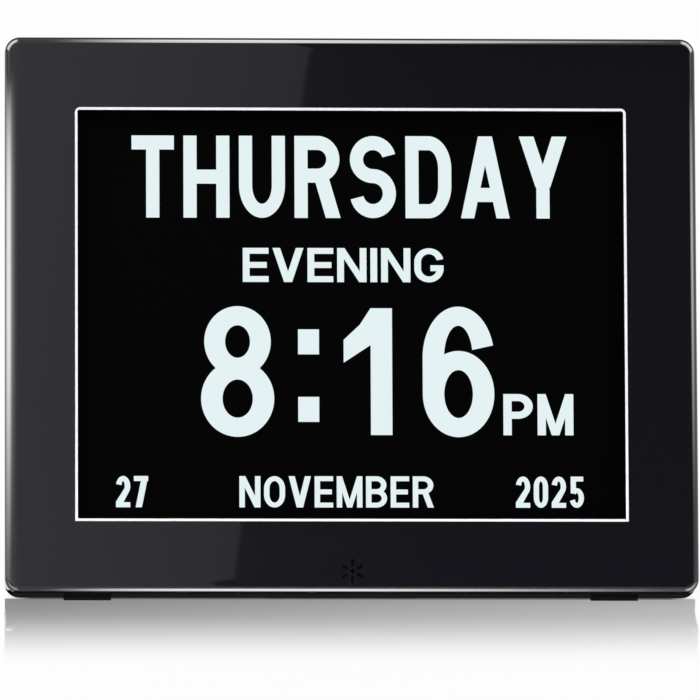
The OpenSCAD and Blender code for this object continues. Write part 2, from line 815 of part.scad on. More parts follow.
// The raised back as a convex block from depth y, drawn in by t on every side
module pod_block(t, y) {
    shoulder_y = pod_y + pod_d - pod_bevel;
    translate([0, 0, pod_z]) hull() {
        slab(y, gap)
            rounded_rect(pod_w - 2 * t, pod_h - 2 * t, pod_corner_r - t, $fn = hull_fn);
        slab(shoulder_y - t, gap)
            rounded_rect(pod_w - 2 * (pod_draft + t), pod_h - 2 * (pod_draft + t),
                pod_corner_r - t, $fn = hull_fn);
        slab(pod_end_y - t - gap, gap)
            rounded_rect(pod_w - 2 * (pod_draft + pod_bevel + t),
                pod_h - 2 * (pod_draft + pod_bevel + t), pod_corner_r - pod_bevel - t,
                $fn = hull_fn);
    }
}

// The cover's flat rim, with its rear edge bevelled
module rim_block() translate([0, 0, mid_z]) hull() {
    slab(rim_y, cover_t / 2)
        rounded_rect(panel_w - 2 * cover_step, panel_h - 2 * cover_step,
            corner_r - cover_step, $fn = hull_fn);
    slab(rim_y, cover_t)
        rounded_rect(panel_w - 4 * cover_step, panel_h - 4 * cover_step,
            corner_r - cover_step, $fn = hull_fn);
}

// Lip that drops inside the panel's wall
module cover_lip() {
    lip_w = cavity_w - 2 * loose;
    lip_h = cavity_h - 2 * loose;
    translate([0, 0, mid_z]) slab(rim_y - lip_d, lip_d + gap)
        frame_ring(lip_w, lip_h, cavity_r, lip_w - 2 * lip_t, lip_h - 2 * lip_t);
}

module keyhole(x)
    translate([x, 0, keyhole_z]) slab(wall_y - over, cover_t + 2 * over) {
        circle(keyhole_r);
        translate([0, keyhole_rise / 2]) square([2 * keyhole_neck_r, keyhole_rise], center = true);
        translate([0, keyhole_rise]) circle(keyhole_neck_r);
    }

// Rows of cooling slots, on both sides of the stand's pocket
module vents() for (s = [-1, 1], i = [0:vent_count - 1]) {
    vent_x = s * (pocket_w / 2 + pocket_wall + vent_gap + vent_l / 2);
    translate([vent_x, 0, vent_z + i * vent_pitch]) slab(wall_y - over, cover_t + 2 * over)
        slot_hole(vent_l, vent_w);
}

module rear_cover() color(satin_black) standing() difference() {
    union() {
        difference() {
            union() {
                rim_block();
                pod_block(0, pod_y - gap);
            }
            pod_block(cover_t, rim_y - over);
        }
        cover_lip();
        // Walls round the stand's pocket, kept inside the raised back
        intersection() {
            pod_block(0, pod_y - gap);
            block(0, (pocket_top + pocket_wall) / 2, pocket_y - pocket_wall,
                pocket_w + 2 * pocket_wall, pocket_top + pocket_wall, pod_d);
        }
        for (s = [-1, 1])
            cross_rod(s * (pocket_w + hinge_boss_l) / 2, hinge_y, hinge_z,
                knuckle_r, hinge_boss_l);
        for (p = post_spots) rod(p[0], p[1], board_back_y, post_r, wall_y - board_back_y + gap);
        for (x = [-key_post_x, key_post_x])
            rod(x, key_z, switch_y, key_post_r, wall_y - switch_y + gap);
    }
    block(0, pocket_top / 2 - over, pocket_y, pocket_w, pocket_top + 2 * over, pod_d);
    cross_rod(0, hinge_y, hinge_z, hinge_bore_r, pin_l + 2 * gap);
    for (p = boss_spots) {
        rod(p[0], p[1], rim_y - over, screw_r + gap, cover_t + 2 * over);
        rod(p[0], p[1], pod_y - head_t, head_r + gap, head_t + over);
    }
    for (p = post_spots) rod(p[0], p[1], board_y, pilot_r, board_screw_l + pilot_spare);
    for (x = [-key_post_x, key_post_x])
        rod(x, key_z, key_board_y, pilot_r, key_screw_l + pilot_spare);
    for (i = [0:key_count - 1])
        translate([key_x(i), 0, key_z]) slab(wall_y - over, cover_t + 2 * over)
            rounded_rect(key_w + 2 * key_slip, key_h + 2 * key_slip, key_corner_r + key_slip);
    for (x = [-keyhole_x, keyhole_x]) keyhole(x);
    vents();
    cross_rod(pod_side_x(inlet_y), inlet_y, inlet_z, inlet_mouth_r, 4 * cover_t);
}

module cover_screws() color(steel_grey) standing()
    for (p = boss_spots)
        pan_screw(p[0], p[1], pod_y - head_t, cover_t - head_t + screw_bite - loose, -1);

// What lies below the table top
module below_table()
    translate([-panel_w, -panel_h, -table_cut]) cube([2 * panel_w, 2 * panel_h, table_cut]);

// Blocks pressed into the panel's lower wall, flat where they stand
module rubber_feet() color(rubber_black) difference() {
    foot_h = foot_recess + foot_d;
    standing() for (s = [-1, 1])
        block(s * foot_x, foot_recess - foot_h / 2, foot_y + gap, foot_w, foot_h, foot_d - gap);
    below_table();
}

module hinge_pin() color(steel_grey) standing()
    cross_rod(0, hinge_y, hinge_z, pin_r, pin_l);

module hinge_washers() color(steel_grey) standing() for (s = [-1, 1]) {
    washer_x = s * (pocket_w - gap - washer_t) / 2;
    difference() {
        cross_rod(washer_x, hinge_y, hinge_z, knuckle_r - washer_in, washer_t);
        cross_rod(washer_x, hinge_y, hinge_z, pin_r + washer_slack, washer_t + over);
    }
}

// Places the stand's pieces, drawn folded from the pin downwards, at its open angle
module opened()
    translate([0, hinge_y, hinge_z]) rotate([leg_open, 0, 0]) children();

module leg_outline() {
    half = leg_foot_w / 2;
    polygon([[-leg_top_w / 2, 0], [leg_top_w / 2, 0],
        [half, leg_corner_r - leg_end], [-half, leg_corner_r - leg_end]]);
    translate([0, leg_corner_r - leg_end]) {
        for (s = [-1, 1]) translate([s * (half - leg_corner_r), 0]) circle(leg_corner_r);
        translate([0, -leg_corner_r / 2])
            square([leg_foot_w - 2 * leg_corner_r, leg_corner_r], center = true);
    }
}

// A side rail of the plate, from the pin down to the last cross rib
module leg_rail(s) {
    top = leg_w_at(0) / 2;
    low = leg_w_at(rib_to) / 2;
    slab(leg_front - rib_d, rib_d + gap) polygon([
        [s * top, 0], [s * low, -rib_to], [s * (low - rib_t), -rib_to], [s * (top - rib_t), 0]
    ]);
}

module stand_leg() color(satin_black) standing() opened() difference() {
    union() {
        slab(leg_front, leg_t) leg_outline();
        cross_rod(0, 0, 0, knuckle_r, knuckle_l);
        block(0, heel_l / 2, -heel_front, heel_w, heel_l, heel_front + heel_back);
        for (s = [-1, 1]) leg_rail(s);
        for (i = [0:rib_count - 1]) {
            d = rib_from + (rib_to - rib_from - rib_t / 2) * i / (rib_count - 1);
            block(0, -d, leg_front - rib_d, leg_w_at(d) - rib_t, rib_t, rib_d + gap);
        }
    }
    cross_rod(0, 0, 0, pin_r + pin_fit, pocket_w);
}

// A rubber sleeve over the plate's end, cut flat where it stands
module stand_shoe() color(rubber_black) difference() {
    standing() opened() difference() {
        block(0, -leg_l + (shoe_h - shoe_spare) / 2, leg_front - shoe_wall,
            leg_foot_w + 2 * shoe_wall, shoe_h + shoe_spare, leg_t + 2 * shoe_wall);
        slab(leg_front - gap / 2, leg_t + gap)
            translate([0, shoe_h - leg_end - gap / 2])
                square([leg_foot_w + gap, 2 * shoe_h], center = true);
    }
    below_table();
}

front_panel();
screen_trim();
screen_gasket();
module_bezel();
lcd_glass();
film_stack();
light_guide();
led_strip();
module_tray();
module_back();
driver_board();
panel_clips();
clip_screws();
display_ribbon();
sounder();
sounder_wires();
main_board();
board_chips();
board_capacitors();
board_coils();
board_connectors();
cell_holder();
backup_cell();
board_screws();
power_inlet();
inlet_contact();
key_board();
key_switches();
key_board_screws();
key_ribbon();
rear_cover();
cover_screws();
rubber_feet();
hinge_pin();
hinge_washers();
stand_leg();
stand_shoe();
key_cap(0);  // key_menu
key_cap(1);  // key_up
key_cap(2);  // key_down
key_cap(3);  // key_left
key_cap(4);  // key_right
key_cap(5);  // key_ok
plunger(0);  // plunger_menu
plunger(1);  // plunger_up
plunger(2);  // plunger_down
plunger(3);  // plunger_left
plunger(4);  // plunger_right
plunger(5);  // plunger_ok
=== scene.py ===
import json
import math

import bmesh
import bpy
import numpy as np
from mathutils import Matrix, Vector
from mathutils.geometry import delaunay_2d_cdt

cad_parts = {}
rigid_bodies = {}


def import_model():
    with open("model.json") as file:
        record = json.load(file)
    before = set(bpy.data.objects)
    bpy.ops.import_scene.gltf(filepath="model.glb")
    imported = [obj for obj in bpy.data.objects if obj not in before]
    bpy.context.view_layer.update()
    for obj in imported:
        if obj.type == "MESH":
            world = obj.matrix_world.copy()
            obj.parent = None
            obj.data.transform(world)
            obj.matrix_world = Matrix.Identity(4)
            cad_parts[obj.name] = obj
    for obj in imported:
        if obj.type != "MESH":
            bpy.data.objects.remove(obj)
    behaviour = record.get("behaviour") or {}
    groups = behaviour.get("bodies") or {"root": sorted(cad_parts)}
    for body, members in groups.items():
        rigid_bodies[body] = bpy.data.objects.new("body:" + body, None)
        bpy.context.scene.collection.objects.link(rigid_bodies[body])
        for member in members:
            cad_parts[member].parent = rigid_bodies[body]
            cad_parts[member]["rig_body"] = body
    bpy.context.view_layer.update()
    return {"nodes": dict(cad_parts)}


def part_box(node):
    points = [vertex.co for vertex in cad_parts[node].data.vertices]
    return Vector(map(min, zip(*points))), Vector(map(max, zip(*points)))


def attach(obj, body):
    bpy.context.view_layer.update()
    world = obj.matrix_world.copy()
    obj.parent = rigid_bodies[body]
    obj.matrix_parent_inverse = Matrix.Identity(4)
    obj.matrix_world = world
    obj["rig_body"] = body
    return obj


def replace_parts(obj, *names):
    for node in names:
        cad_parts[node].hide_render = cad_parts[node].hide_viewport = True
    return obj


# Tabletop day clock: a gloss black front with an inlaid white line, a satin rear cover with keys, and a
# folding leg.
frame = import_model()
nodes = frame["nodes"]
mm = 0.001
print("frame loaded:", len(nodes), "nodes")

# the front panel's sizes in mm and its lean in degrees; glassDepth is how far behind the face the glass lies
clock = {"width": 205, "height": 166, "depth": 13, "lean": 15, "corner": 4.5, "edge": 2.0, "glassDepth": 3.8}
leanCos, leanSin = math.cos(math.radians(clock["lean"])), math.sin(math.radians(clock["lean"]))
panelLow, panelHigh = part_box("front_panel")
# the leaning front's own origin: middle of its bottom edge, on the plane of its face
originY = panelHigh.y / mm - clock["depth"] * leanCos - clock["height"] * leanSin
originZ = panelLow.z / mm + clock["depth"] * leanSin


# world metres from x, depth behind the face and height up the face, in mm: the upright clock turned back by
# its lean
def toWorld(points):
    x, y, z = np.asarray(points, float).T
    return np.stack([x, y * leanCos + z * leanSin + originY, -y * leanSin + z * leanCos + originZ], 1) * mm


# the same turned round: x, depth and height in mm from world metres
def toClock(points):
    x, y, z = (np.asarray(points, float) / mm - (0, originY, originZ)).T
    return np.stack([x, y * leanCos - z * leanSin, y * leanSin + z * leanCos], 1)


# linear red, green, blue and alpha from an sRGB hex colour
def linear(hexColour):
    parts = np.array([int(hexColour[i:i + 2], 16) for i in (1, 3, 5)]) / 255
    return (*np.where(parts <= 0.04045, parts / 12.92, ((parts + 0.055) / 1.055) ** 2.4).tolist(), 1)


def addNode(tree, kind, sockets=None, **settings):
    node = tree.nodes.new(kind)
    for name, value in settings.items():
        setattr(node, name, value)
    for name, value in (sockets or {}).items():
        if isinstance(value, bpy.types.NodeSocket):
            tree.links.new(value, node.inputs[name])
        else:
            node.inputs[name].default_value = value
    return node


def emptyMaterial(name):
    material = bpy.data.materials.new(name)
    material.use_nodes = True
    material.node_tree.nodes.clear()
    return material, material.node_tree


# One moulded, plated or cut surface: two close tones mixed by a soft cloud, a roughness that wanders, and a
# fine relief. tone and toneDark are sRGB, grain is the size of the relief and relief its height, both in mm.
def finish(name, tone, toneDark, rough, roughSpread, grain, relief, cloud=12, metallic=0.0, ior=1.5,
           stretch=(1, 1, 1), specular=0.5, cells=False):
    material, tree = emptyMaterial(name)
    place = addNode(tree, "ShaderNodeTexCoord").outputs["Object"]
    place = addNode(tree, "ShaderNodeMapping", {"Vector": place, "Scale": stretch}).outputs["Vector"]
    soft = addNode(tree, "ShaderNodeTexNoise", {"Vector": place, "Scale": 1 / (cloud * mm), "Detail": 4.0})
    fine = addNode(tree, "ShaderNodeTexNoise", {"Vector": place, "Scale": 1 / (grain * mm), "Detail": 3.0})
    height = fine.outputs["Fac"]
    if cells:  # rounded pits beside the fine grain, as a spark-cut mould leaves
        pits = addNode(tree, "ShaderNodeTexVoronoi", {"Vector": place, "Scale": 1 / (grain * 1.6 * mm)},
                       feature="SMOOTH_F1")
        height = addNode(tree, "ShaderNodeMath", {0: height, 1: pits.outputs["Distance"]},
                         operation="ADD").outputs[0]
    # sockets 6 and 7 of a Mix node are its two colours, and its third output the mixed one
    colour = addNode(tree, "ShaderNodeMix", {0: soft.outputs["Fac"], 6: linear(tone), 7: linear(toneDark)},
                     data_type="RGBA")
    worn = addNode(tree, "ShaderNodeMapRange", {
        "Value": soft.outputs["Fac"], "From Min": 0.3, "From Max": 0.7,
        "To Min": rough - roughSpread, "To Max": rough + roughSpread})
    bump = addNode(tree, "ShaderNodeBump", {"Height": height, "Strength": 1.0, "Distance": relief * mm})
    shader = addNode(tree, "ShaderNodeBsdfPrincipled", {
        "Base Color": colour.outputs[2], "Roughness": worn.outputs["Result"], "Metallic": metallic,
        "Normal": bump.outputs["Normal"], "Specular IOR Level": specular})
    if not metallic:
        shader.inputs["IOR"].default_value = ior
    addNode(tree, "ShaderNodeOutputMaterial", {"Surface": shader.outputs["BSDF"]})
    return material


finishes = {
    # injection-moulded ABS off a mirror-polished tool: deep black with a near perfect reflection
    "gloss_black": finish("polishedBlackAbs", "#0C0B12", "#0B0A11", 0.02, 0.004, 2.5, 0.0001, cloud=40),
    # the same ABS off a spark-eroded tool: a fine even stipple that spreads the light
    "satin_black": finish("sparkTexturedBlackAbs", "#1B1B1D", "#161618", 0.55, 0.05, 0.45, 0.02, cloud=30,
                          cells=True),
    "key_black": finish("mattKeyAbs", "#242427", "#1D1D20", 0.48, 0.04, 0.3, 0.008, cloud=6, cells=True),
    # a white strip of the same plastic, pressed in: smooth and only half glossy
    "white_line": finish("whiteInlayAbs", "#F7F8F8", "#F2F3F4", 0.3, 0.05, 0.6, 0.002, cloud=9),
    # hard-coated anti-glare glass over a dark liquid crystal
    "display_glass": finish("antiGlareGlass", "#020202", "#000000", 0.5, 0.05, 0.2, 0.001, specular=0.01),
    # inner pieces: cast and moulded plastics, plated and oxidised steel, lacquered board and its parts
    "clear_acrylic": finish("castAcrylic", "#DDE6EA", "#D3DDE2", 0.12, 0.03, 1.5, 0.001, ior=1.49),
    "white_plastic": finish("whiteNylon", "#E6E5DF", "#DAD9D2", 0.42, 0.05, 0.5, 0.006),
    "foam": finish("closedCellFoam", "#1C1C1C", "#121212", 0.85, 0.05, 0.35, 0.05, cells=True),
    "steel": finish("drawnZincPlatedSteel", "#B9BCC0", "#A4A8AD", 0.32, 0.08, 0.3, 0.004, metallic=1.0,
                    stretch=(0.15, 1, 1)),
    "screw_steel": finish("blackOxideScrewSteel", "#4A4B4E", "#3A3B3E", 0.36, 0.08, 0.25, 0.006,
                          metallic=1.0),
    "board_green": finish("greenSolderMask", "#1E5A3A", "#174A2F", 0.3, 0.05, 1.2, 0.004, ior=1.55),
    "chip_black": finish("mouldedChipEpoxy", "#202022", "#19191B", 0.6, 0.05, 0.15, 0.006),
    "capacitor_can": finish("sleevedCanAluminium", "#AEB2B8", "#969BA2", 0.3, 0.06, 0.2, 0.003,
                            metallic=1.0),
    "ferrite": finish("pressedFerrite", "#34353A", "#2A2B30", 0.7, 0.06, 0.25, 0.01),
    "cell_steel": finish("nickelPlatedSteel", "#C9C8C2", "#B5B4AE", 0.24, 0.05, 0.3, 0.002, metallic=1.0),
    "ribbon": finish("polyimideRibbon", "#C98B3A", "#B97C30", 0.35, 0.05, 0.5, 0.01,
                     stretch=(1, 0.05, 0.05)),
    "wire_red": finish("redWirePvc", "#B3211F", "#9C1A19", 0.4, 0.05, 0.4, 0.004),
    # soft rubber out of a blasted mould, the mattest of the black pieces
    "rubber_black": finish("mouldedSiliconeRubber", "#1A1A1A", "#141414", 0.72, 0.05, 0.35, 0.012,
                           cells=True),
}


# the lit liquid crystal: an even cool white whose rows of picture dots, 0.25 mm apart, show faintly up close
def litDisplay(name, colour, strength, rowPitch):
    material, tree = emptyMaterial(name)
    place = addNode(tree, "ShaderNodeTexCoord").outputs["Object"]
    rows = addNode(tree, "ShaderNodeTexWave", {"Vector": place, "Scale": 1 / (rowPitch * mm) * math.pi / 10,
                                               "Distortion": 0.0}, bands_direction="X", wave_profile="SIN")
    level = addNode(tree, "ShaderNodeMapRange", {
        "Value": rows.outputs["Fac"], "To Min": strength * 0.97, "To Max": strength})
    light = addNode(tree, "ShaderNodeEmission", {
        "Color": linear(colour), "Strength": level.outputs["Result"]})
    addNode(tree, "ShaderNodeOutputMaterial", {"Surface": light.outputs["Emission"]})
    return material


finishes["display_light"] = litDisplay("litLiquidCrystal", "#E6F3F5", 1.0, 0.25)
for name, node in nodes.items():
    slotName = node.data.materials[0].name.split(".")[0]
    for index in range(len(node.data.materials)):
        node.data.materials[index] = finishes[slotName]
    node["finish"] = slotName
print("finishes made:", len(finishes))


def newPiece(name, mesh, body, slotName):
    piece = bpy.data.objects.new(name, mesh)
    bpy.context.scene.collection.objects.link(piece)
    mesh.materials.clear()
    mesh.materials.append(finishes[slotName])
    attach(piece, body)
    return piece


sharpAngle = 30  # degrees: gentler bends are shaded smooth


# a CAD solid with its triangles joined and its gentle bends shaded smooth
def smoothCopy(nodeName):
    source = nodes[nodeName]
    mesh = source.data.copy()
    mesh.name = nodeName + "_smooth"
    joined = bmesh.new()
    joined.from_mesh(mesh)
    bmesh.ops.remove_doubles(joined, verts=joined.verts, dist=1e-6)
    bmesh.ops.dissolve_limit(joined, angle_limit=math.radians(0.4), verts=joined.verts, edges=joined.edges)
    joined.to_mesh(mesh)
    joined.free()
    mesh.shade_smooth()
    mesh.set_sharp_from_angle(angle=math.radians(sharpAngle))
    piece = newPiece(nodeName + "_dressed", mesh, source["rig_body"], source["finish"])
    weigh = piece.modifiers.new("flatFacesStayFlat", "WEIGHTED_NORMAL")
    weigh.keep_sharp = True
    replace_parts(piece, nodeName)


# The polished face is shaded as if it sank a little towards its rounding: over its outer width in mm, its
# normal leans out by up to lean degrees. The cuts, by mm from the outside, let the shading change smoothly.
softBorder = {"width": 4.3, "lean": 9.0, "cuts": (2.35, 2.7, 3.1, 3.6, 4.3)}


# Normals of a rounded slab: a point looks away from the nearest point of the slab shrunk by the edge radius.
# On the border the normal leans out by lean (1 - (inset - edge) / (width - edge))^2, and the rounding takes
# up from that lean.
def roundedSlabNormals(points):
    x, y, z = points.T
    edge, corner, startLean = clock["edge"], clock["corner"], softBorder["lean"]
    halfX, halfZ = clock["width"] / 2 - corner, clock["height"] / 2 - corner
    middleZ = z - clock["height"] / 2
    # nearest point of the plan's rounded rectangle shrunk by the edge radius
    coreX, coreZ = np.clip(x, -halfX, halfX), np.clip(middleZ, -halfZ, halfZ)
    outX, outZ = x - coreX, middleZ - coreZ
    reach = np.hypot(outX, outZ)
    share = np.where(reach > corner - edge, (corner - edge) / np.maximum(reach, 1e-9), 1.0)
    nearestZ = coreZ + outZ * share + clock["height"] / 2
    nearest = np.stack([coreX + outX * share, np.maximum(y, edge), nearestZ], 1)
    away = points - nearest
    away /= np.maximum(np.linalg.norm(away, axis=1, keepdims=True), 1e-9)
    inset = corner - reach
    fade = np.clip(1 - (inset - edge) / (softBorder["width"] - edge), 0, 1) ** 2
    lean = np.degrees(np.arccos(np.clip(-away[:, 1], -1, 1)))
    lean = np.where(inset >= edge - 1e-4, startLean * fade, startLean + (90 - startLean) * lean / 90)
    lean = np.radians(lean)
    sideways = np.stack([outX, outZ], 1) / np.maximum(reach, 1e-9)[:, None]
    turned = np.stack([np.sin(lean) * sideways[:, 0], -np.cos(lean), np.sin(lean) * sideways[:, 1]], 1)
    front = y < edge - 1e-4
    return np.where(front[:, None], turned, away)


def dressFrontPanel():
    mesh = nodes["front_panel"].data.copy()
    joined = bmesh.new()
    joined.from_mesh(mesh)
    bmesh.ops.remove_doubles(joined, verts=joined.verts, dist=1e-6)
    middle = Vector(toWorld([(0, 0, clock["height"] / 2)])[0])
    upFace = Vector((0, leanSin, leanCos))
    for along, half in ((Vector((1, 0, 0)), clock["width"] / 2), (upFace, clock["height"] / 2)):
        for inset in softBorder["cuts"]:
            for side in (-1, 1):
                everything = joined.verts[:] + joined.edges[:] + joined.faces[:]
                bmesh.ops.bisect_plane(joined, geom=everything, dist=1e-6, plane_no=along,
                                       plane_co=middle + along * side * (half - inset) * mm)
    joined.to_mesh(mesh)
    joined.free()
    mesh.shade_smooth()
    mesh.set_sharp_from_angle(angle=math.radians(sharpAngle))
    places = np.empty(len(mesh.vertices) * 3)
    mesh.vertices.foreach_get("co", places)
    loopVertex = np.empty(len(mesh.loops), int)
    mesh.loops.foreach_get("vertex_index", loopVertex)
    corner = np.empty(len(mesh.loops) * 3)
    mesh.corner_normals.foreach_get("vector", corner)
    corner = corner.reshape(-1, 3)
    ideal = roundedSlabNormals(toClock(places.reshape(-1, 3)))
    ideal = ideal @ np.array([(1, 0, 0), (0, leanCos, -leanSin), (0, leanSin, leanCos)])
    wanted = ideal[loopVertex]
    faceSizes, faceNormals = np.empty(len(mesh.polygons), int), np.empty(len(mesh.polygons) * 3)
    mesh.polygons.foreach_get("loop_total", faceSizes)
    mesh.polygons.foreach_get("normal", faceNormals)
    faceNormals = np.repeat(faceNormals.reshape(-1, 3), faceSizes, axis=0)
    # only faces that look within 28 degrees of the exact direction, cosine 0.88, take it
    outside = (wanted * faceNormals).sum(1) > 0.88
    corner[outside] = wanted[outside]
    mesh.normals_split_custom_set(corner.tolist())
    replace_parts(newPiece("front_panel_dressed", mesh, "case", "gloss_black"), "front_panel")


dressFrontPanel()
keyCaps = [name for name in nodes if name.startswith("key_") and nodes[name]["finish"] == "key_black"]
for nodeName in ["rear_cover", "stand_leg", "stand_shoe", "screen_trim", "rubber_feet", "hinge_washers",
                 "hinge_pin", *keyCaps, "cover_screws", "power_inlet"]:
    smoothCopy(nodeName)
print("front, cover, stand and keys dressed")

# Lettering on the display: lit plates on the glass. Every sign is drawn here from straight strokes and bows,
# in a cell one unit high. stem is how thick uprights are and bar how thick level strokes are, both as shares
# of the height.
def straight(x0, z0, x1, z1, stem):  # a slanted or upright stroke, cut level at both ends
    return [(x0 - stem / 2, z0), (x0 + stem / 2, z0), (x1 + stem / 2, z1), (x1 - stem / 2, z1)]


def level(x0, x1, z, bar):  # a level stroke whose lower edge is at z
    return [(x0, z), (x1, z), (x1, z + bar), (x0, z + bar)]


# the band between two ellipses about one middle, from one angle to another, in degrees
def bow(x, z, reachX, reachZ, first, last, stem, bar):
    angle = np.radians(np.linspace(first, last, 28))
    outer = np.stack([x + reachX * np.cos(angle), z + reachZ * np.sin(angle)], 1)
    inner = np.stack([x + (reachX - stem) * np.cos(angle), z + (reachZ - bar) * np.sin(angle)], 1)
    return np.concatenate([outer, inner[::-1]]).tolist()


def ring(x, z, reachX, reachZ, stem, bar):
    return [bow(x, z, reachX, reachZ, 0, 180, stem, bar), bow(x, z, reachX, reachZ, 180, 360, stem, bar)]


# a sign's outlines from its width w, stem s and bar b
def glyph(sign, w, s, b):
    h = s / 2
    left, right = straight(h, 0, h, 1, s), straight(w - h, 0, w - h, 1, s)
    r = min(0.4, w * 0.72)  # how high the round ends of O, U and the like are
    roundTop = bow(w / 2, 1 - r, w / 2, r, 0, 180, s, b)
    roundFoot = bow(w / 2, r, w / 2, r, 180, 360, s, b)
    midLeft, midRight = straight(h, r, h, 1 - r, s), straight(w - h, r, w - h, 1 - r, s)
    up, low = (1 + b) / 2 * 0.98, (1 + b) / 2 * 1.02  # heights of the upper and lower bowls of B, S and 8
    upMid, lowMid = 1 - up / 2, low / 2
    k = s * 1.12  # slanted strokes are cut level, so they take a little more
    hook = bow(w / 2, 1 - r, w / 2, r, 168, -24, s, b)  # the head of 2, from whose end the slant starts
    hookOut, hookIn = hook[len(hook) // 2 - 1], hook[len(hook) // 2]
    shapes = {
        "A": [straight(h, 0, w / 2 - s * 0.03, 1, s), straight(w - h, 0, w / 2 + s * 0.03, 1, s),
              level(w * 0.25, w * 0.75, 0.2, b)],
        "B": [left, level(h, w * 0.5, 1 - b, b), level(h, w * 0.5, 1 - up, b), level(h, w * 0.5, 0, b),
              bow(w * 0.5, upMid, w * 0.47, up / 2, -90, 90, s, b),
              bow(w * 0.5, lowMid, w * 0.5, low / 2, -90, 90, s, b)],
        "D": [left, level(h, w / 2, 1 - b, b), level(h, w / 2, 0, b), midRight,
              bow(w / 2, 1 - r, w / 2, r, 0, 90, s, b), bow(w / 2, r, w / 2, r, -90, 0, s, b)],
        "E": [left, level(h, w, 1 - b, b), level(h, w * 0.93, 0.5 - b / 2, b), level(h, w, 0, b)],
        "G": [bow(w / 2, 1 - r, w / 2, r, 12, 180, s, b), midLeft, roundFoot,
              straight(w - h, r, w - h, 0.5, s), level(w * 0.55, w, 0.5 - b, b)],
        "H": [left, right, level(h, w - h, 0.5 - b / 2, b)],
        "I": [left],
        "M": [left, right, straight(h * 1.05, 1, w / 2, 0, s * 0.92),
              straight(w - h * 1.05, 1, w / 2, 0, s * 0.92)],
        "N": [left, right, straight(h * 1.05, 1, w - h * 1.05, 0, k)],
        "O": [roundTop, roundFoot, midLeft, midRight],
        "P": [left, level(h, w * 0.5, 1 - b, b), level(h, w * 0.5, 0.4, b),
              bow(w * 0.5, 0.7, w * 0.5, 0.3, -90, 90, s, b)],
        "R": [left, level(h, w * 0.5, 1 - b, b), level(h, w * 0.5, 0.43, b),
              bow(w * 0.5, 0.715, w * 0.48, 0.285, -90, 90, s, b), straight(w - k / 2, 0, w * 0.58, 0.5, k)],
        "S": [bow(w / 2, upMid, w / 2, up / 2, 14, 270, s, b),
              bow(w / 2, lowMid, w / 2, low / 2, 90, -166, s, b)],
        "T": [level(0, w, 1 - b, b), straight(w / 2, 0, w / 2, 1, s)],
        "U": [roundFoot, straight(h, r, h, 1, s), straight(w - h, r, w - h, 1, s)],
        "V": [straight(w / 2 - k * 0.03, 0, k / 2, 1, k), straight(w / 2 + k * 0.03, 0, w - k / 2, 1, k)],
        "Y": [straight(w / 2, 0, w / 2, 0.45, s), straight(w / 2, 0.38, k / 2, 1, k),
              straight(w / 2, 0.38, w - k / 2, 1, k)],
        "1": [right, [(w - h, 1), (w - s, 1), (w - s * 1.5, 0.87), (0, 0.75), (0, 0.57), (w - s, 0.71)]],
        "2": [hook, level(0, w, 0, b), [hookIn, hookOut, (s * 1.3, b * 0.9), (0, b * 0.9), (0, b * 1.1)]],
        "5": [level(w * 0.08, w * 0.96, 1 - b, b), straight(w * 0.08 + h, 0.46, w * 0.08 + h, 1, s),
              bow(w / 2, 0.315, w / 2, 0.315, 137, -163, s, b)],
        "6": [*ring(w / 2, 0.33, w / 2, 0.33, s, b), straight(h, 0.33, h, 1 - r, s),
              bow(w / 2, 1 - r, w / 2, r, 14, 180, s, b)],
        "7": [level(0, w, 1 - b, b), straight(w * 0.34, 0, w - k / 2, 1, k)],
        "8": [*ring(w / 2, upMid + 0.01, w * 0.455, up / 2 - 0.01, s * 0.97, b),
              *ring(w / 2, lowMid, w / 2, low / 2, s, b)],
        ":": [level(0, w, 0, 0.27), level(0, w, 0.73, 0.27)],
    }
    shapes["0"] = shapes["O"]
    return shapes[sign]


# Each word with its place in mm: signs, left and right end from the clock's middle, foot over the clock's
# lower edge, height, stem and bar. gap is the space between signs, as a share of the height. narrow holds
# the signs that are wider or narrower than the rest, and clear is the air between plate and glass.
lettering = {
    "thickness": 0.03, "clear": 0.005, "gap": 0.115,
    "narrow": {"I": 0.0, "M": 1.22, "T": 0.92, "E": 0.88, "A": 1.06, "V": 1.06, "Y": 1.04},
    "words": (("THURSDAY", -64.9, 64.3, 112.35, 24.6, 3.9, 4.2),
              ("EVENING", -32.0, 27.55, 93.15, 10.2, 2.0, 1.75),
              ("8", -44.45, -22.8, 46.9, 39.0, 6.35, 5.7), (":", -15.7, -9.5, 51.4, 27.6, 0, 0),
              ("1", -2.2, 12.15, 47.5, 37.85, 6.35, 6.0), ("6", 21.2, 42.4, 46.9, 39.0, 6.35, 5.7),
              ("PM", 45.05, 65.8, 47.5, 12.3, 2.45, 2.1), ("27", -69.65, -60.15, 25.9, 9.3, 1.65, 1.5),
              ("NOVEMBER", -33.2, 24.3, 25.9, 9.3, 1.6, 1.45), ("2025", 48.6, 68.75, 25.9, 9.3, 1.55, 1.45))}


# flat points and triangles of overlapping outlines joined in one shape
def joinedShape(outlines):
    corners, loops = [], []
    for outline in outlines:
        corner = np.array(outline, float)
        following = np.roll(corner, -1, axis=0)
        turn = (corner[:, 0] * following[:, 1] - corner[:, 1] * following[:, 0]).sum()
        corner = corner if turn > 0 else corner[::-1]  # every outline runs anticlockwise
        loops.append(list(range(len(corners), len(corners) + len(corner))))
        corners += [Vector(point) for point in corner]
    flat, _, triangles, _, _, madeFrom = delaunay_2d_cdt(corners, [], loops, 0, 1e-5)
    return np.array([tuple(point) for point in flat]), [t for t, made in zip(triangles, madeFrom) if made]


